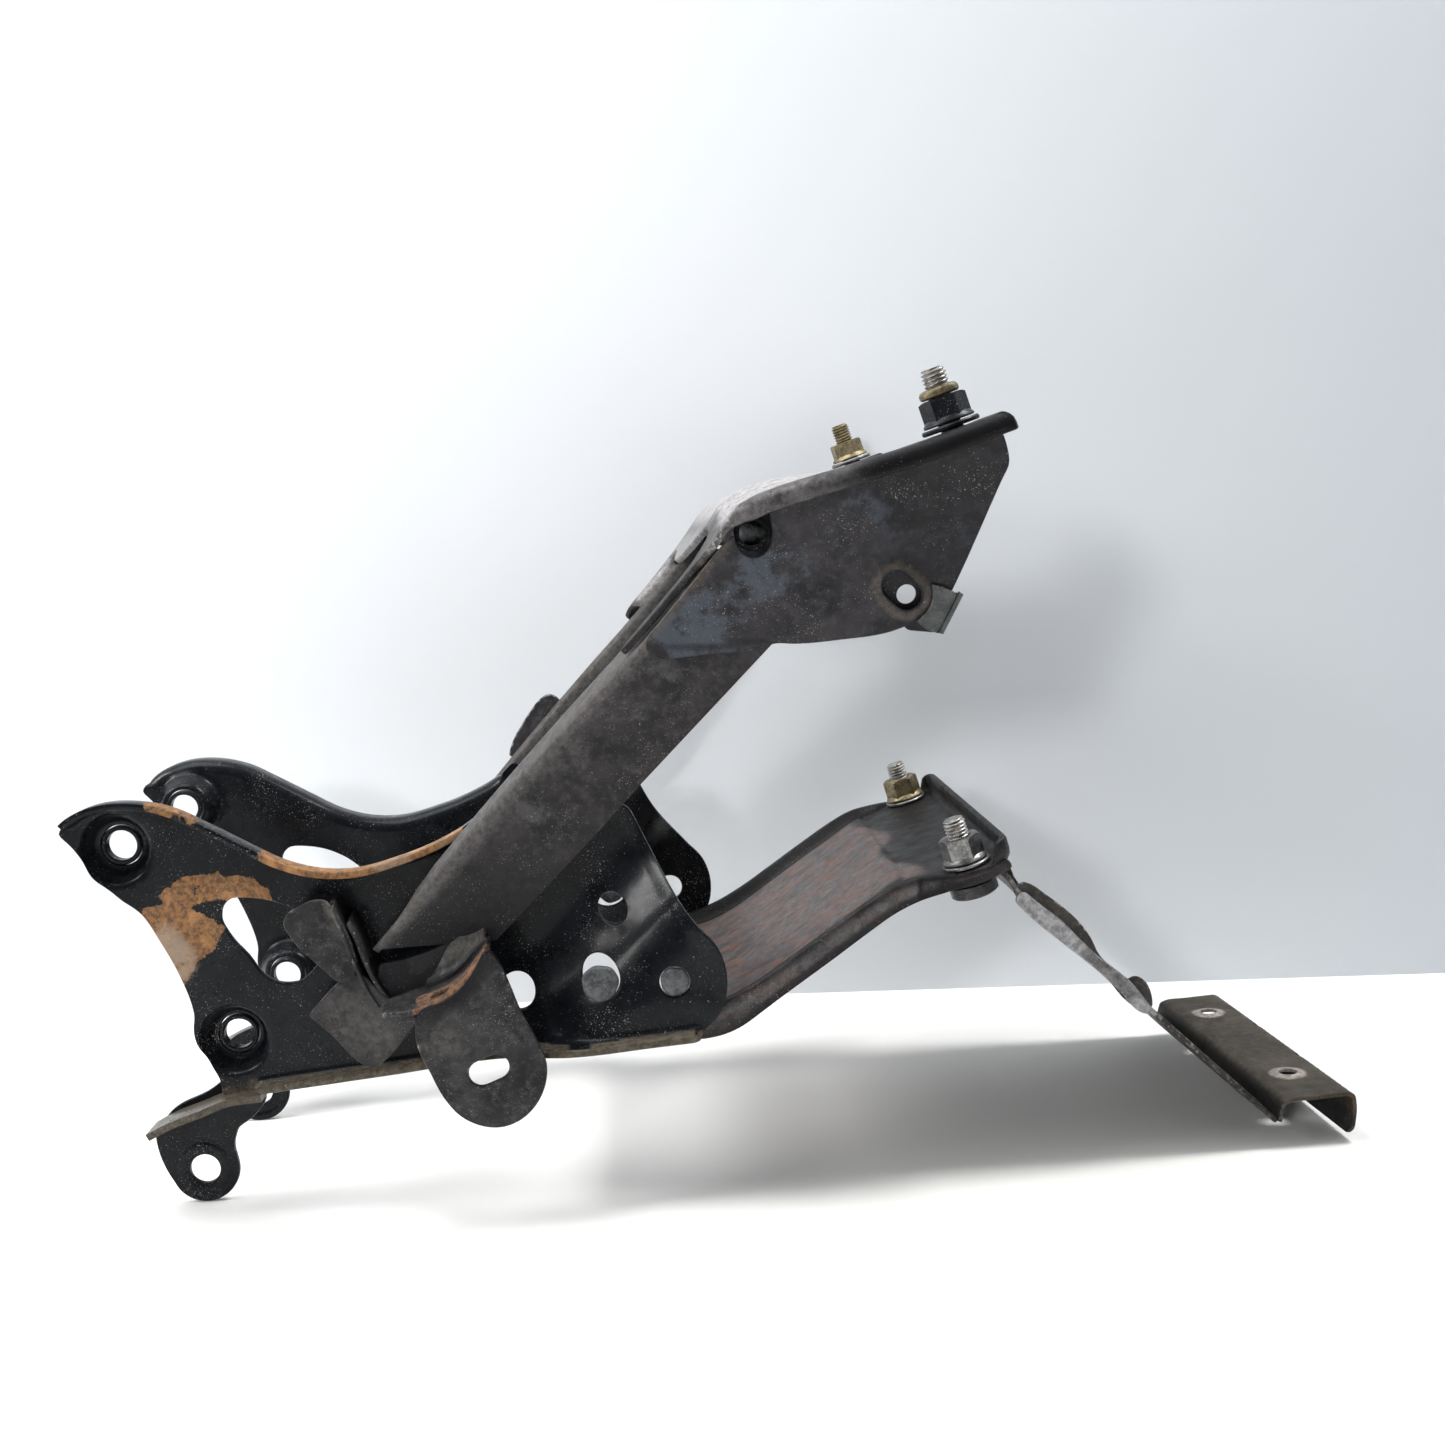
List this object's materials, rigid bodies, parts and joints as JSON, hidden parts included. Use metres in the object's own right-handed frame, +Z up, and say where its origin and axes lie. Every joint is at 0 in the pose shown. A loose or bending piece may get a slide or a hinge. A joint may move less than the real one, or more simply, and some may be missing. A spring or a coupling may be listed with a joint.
{
  "type": "support carrier bracket",
  "caption": "Bolt-on support carrier of folded sheet steel: twin side plates, leaning arms, a studded top bridge, a studded tray and a rear cross channel.",
  "frame": {"origin": "the centre of the footprint of the bounding box, on the ground plane the carrier stands on", "axes": "+X to the rear (the cross channel), +Y to the right, +Z up; the X-Z plane is the mid-plane of the two side plates"},
  "size_m": [0.4626, 0.2782, 0.283],
  "materials": {
    "black_paint": "satin black paint, scuffed, with rust at the edges",
    "worn_dark_steel": "worn matte grey-brown paint with bare edges",
    "worn_light_steel": "worn light grey steel with scratches",
    "rusty_steel": "worn paint over rusty steel",
    "zinc_steel": "dull zinc plating",
    "yellow_zinc_steel": "yellow passivated zinc plating"
  },
  "bodies": {
    "carrier": {"side_plate_right": "black_paint", "upper_sleeve_right": "black_paint", "middle_sleeve_right": "black_paint", "lower_ear_right": "black_paint", "front_plug_weld_right": "worn_light_steel", "arm_right": "worn_dark_steel", "gusset_right": "worn_dark_steel", "clip_nut_right": "worn_light_steel", "upper_stud_right": "yellow_zinc_steel", "lower_stud_right": "zinc_steel", "side_plate_left": "black_paint", "upper_sleeve_left": "black_paint", "middle_sleeve_left": "black_paint", "lower_ear_left": "black_paint", "front_plug_weld_left": "worn_light_steel", "arm_left": "worn_dark_steel", "gusset_left": "worn_dark_steel", "clip_nut_left": "worn_light_steel", "upper_stud_left": "zinc_steel", "lower_stud_left": "zinc_steel", "rear_plug_weld_left": "worn_light_steel", "top_bridge": "worn_light_steel", "cross_tube": "black_paint", "rear_tray": "worn_dark_steel", "arm_bracket_left": "worn_dark_steel", "hanging_tab_left": "worn_dark_steel", "arm_clip_right": "worn_dark_steel", "rear_hanger": "rusty_steel", "rear_cross_channel": "rusty_steel"},
    "upper_left_washer": {"upper_washer_left": "black_paint"},
    "upper_left_nut": {"upper_nut_left": "black_paint", "lock_collar_left": "yellow_zinc_steel"},
    "upper_right_washer": {"upper_washer_right": "black_paint"},
    "upper_right_nut": {"upper_nut_right": "yellow_zinc_steel"},
    "lower_left_washer": {"lower_washer_left": "zinc_steel"},
    "lower_left_nut": {"lower_nut_left": "zinc_steel"},
    "lower_right_washer": {"lower_washer_right": "zinc_steel"},
    "lower_right_nut": {"lower_nut_right": "yellow_zinc_steel"}
  },
  "joints": [
    {"name": "upper_left_lift", "type": "slide", "parent": "carrier", "child": "upper_left_washer", "axis": [-0.2874, 0, 0.9578], "range_m": [0, 0.00501]},
    {"name": "upper_left_spin", "type": "hinge", "parent": "upper_left_washer", "child": "upper_left_nut", "pos_m": [0.08066, -0.12, 0.26325], "axis": [-0.2874, 0, 0.9578], "range_deg": [0, 1440]},
    {"name": "upper_right_lift", "type": "slide", "parent": "carrier", "child": "upper_right_washer", "axis": [-0.2874, 0, 0.9578], "range_m": [0, 0.00501]},
    {"name": "upper_right_spin", "type": "hinge", "parent": "upper_right_washer", "child": "upper_right_nut", "pos_m": [0.08066, 0.12, 0.26325], "axis": [-0.2874, 0, 0.9578], "range_deg": [0, 1440]},
    {"name": "lower_left_lift", "type": "slide", "parent": "carrier", "child": "lower_left_washer", "axis": [-0.2538, 0, 0.9673], "range_m": [0, 0.00501]},
    {"name": "lower_left_spin", "type": "hinge", "parent": "lower_left_washer", "child": "lower_left_nut", "pos_m": [0.09058, -0.066, 0.11387], "axis": [-0.2538, 0, 0.9673], "range_deg": [0, 1440]},
    {"name": "lower_right_lift", "type": "slide", "parent": "carrier", "child": "lower_right_washer", "axis": [-0.2538, 0, 0.9673], "range_m": [0, 0.00501]},
    {"name": "lower_right_spin", "type": "hinge", "parent": "lower_right_washer", "child": "lower_right_nut", "pos_m": [0.09058, 0.066, 0.11387], "axis": [-0.2538, 0, 0.9673], "range_deg": [0, 1440]}
  ],
  "couplings": [
    {"joint": "upper_left_lift", "follows": "upper_left_spin", "m_per_rad": 0.00019894},
    {"joint": "upper_right_lift", "follows": "upper_right_spin", "m_per_rad": 0.00019894},
    {"joint": "lower_left_lift", "follows": "lower_left_spin", "m_per_rad": 0.00019894},
    {"joint": "lower_right_lift", "follows": "lower_right_spin", "m_per_rad": 0.00019894}
  ]
}
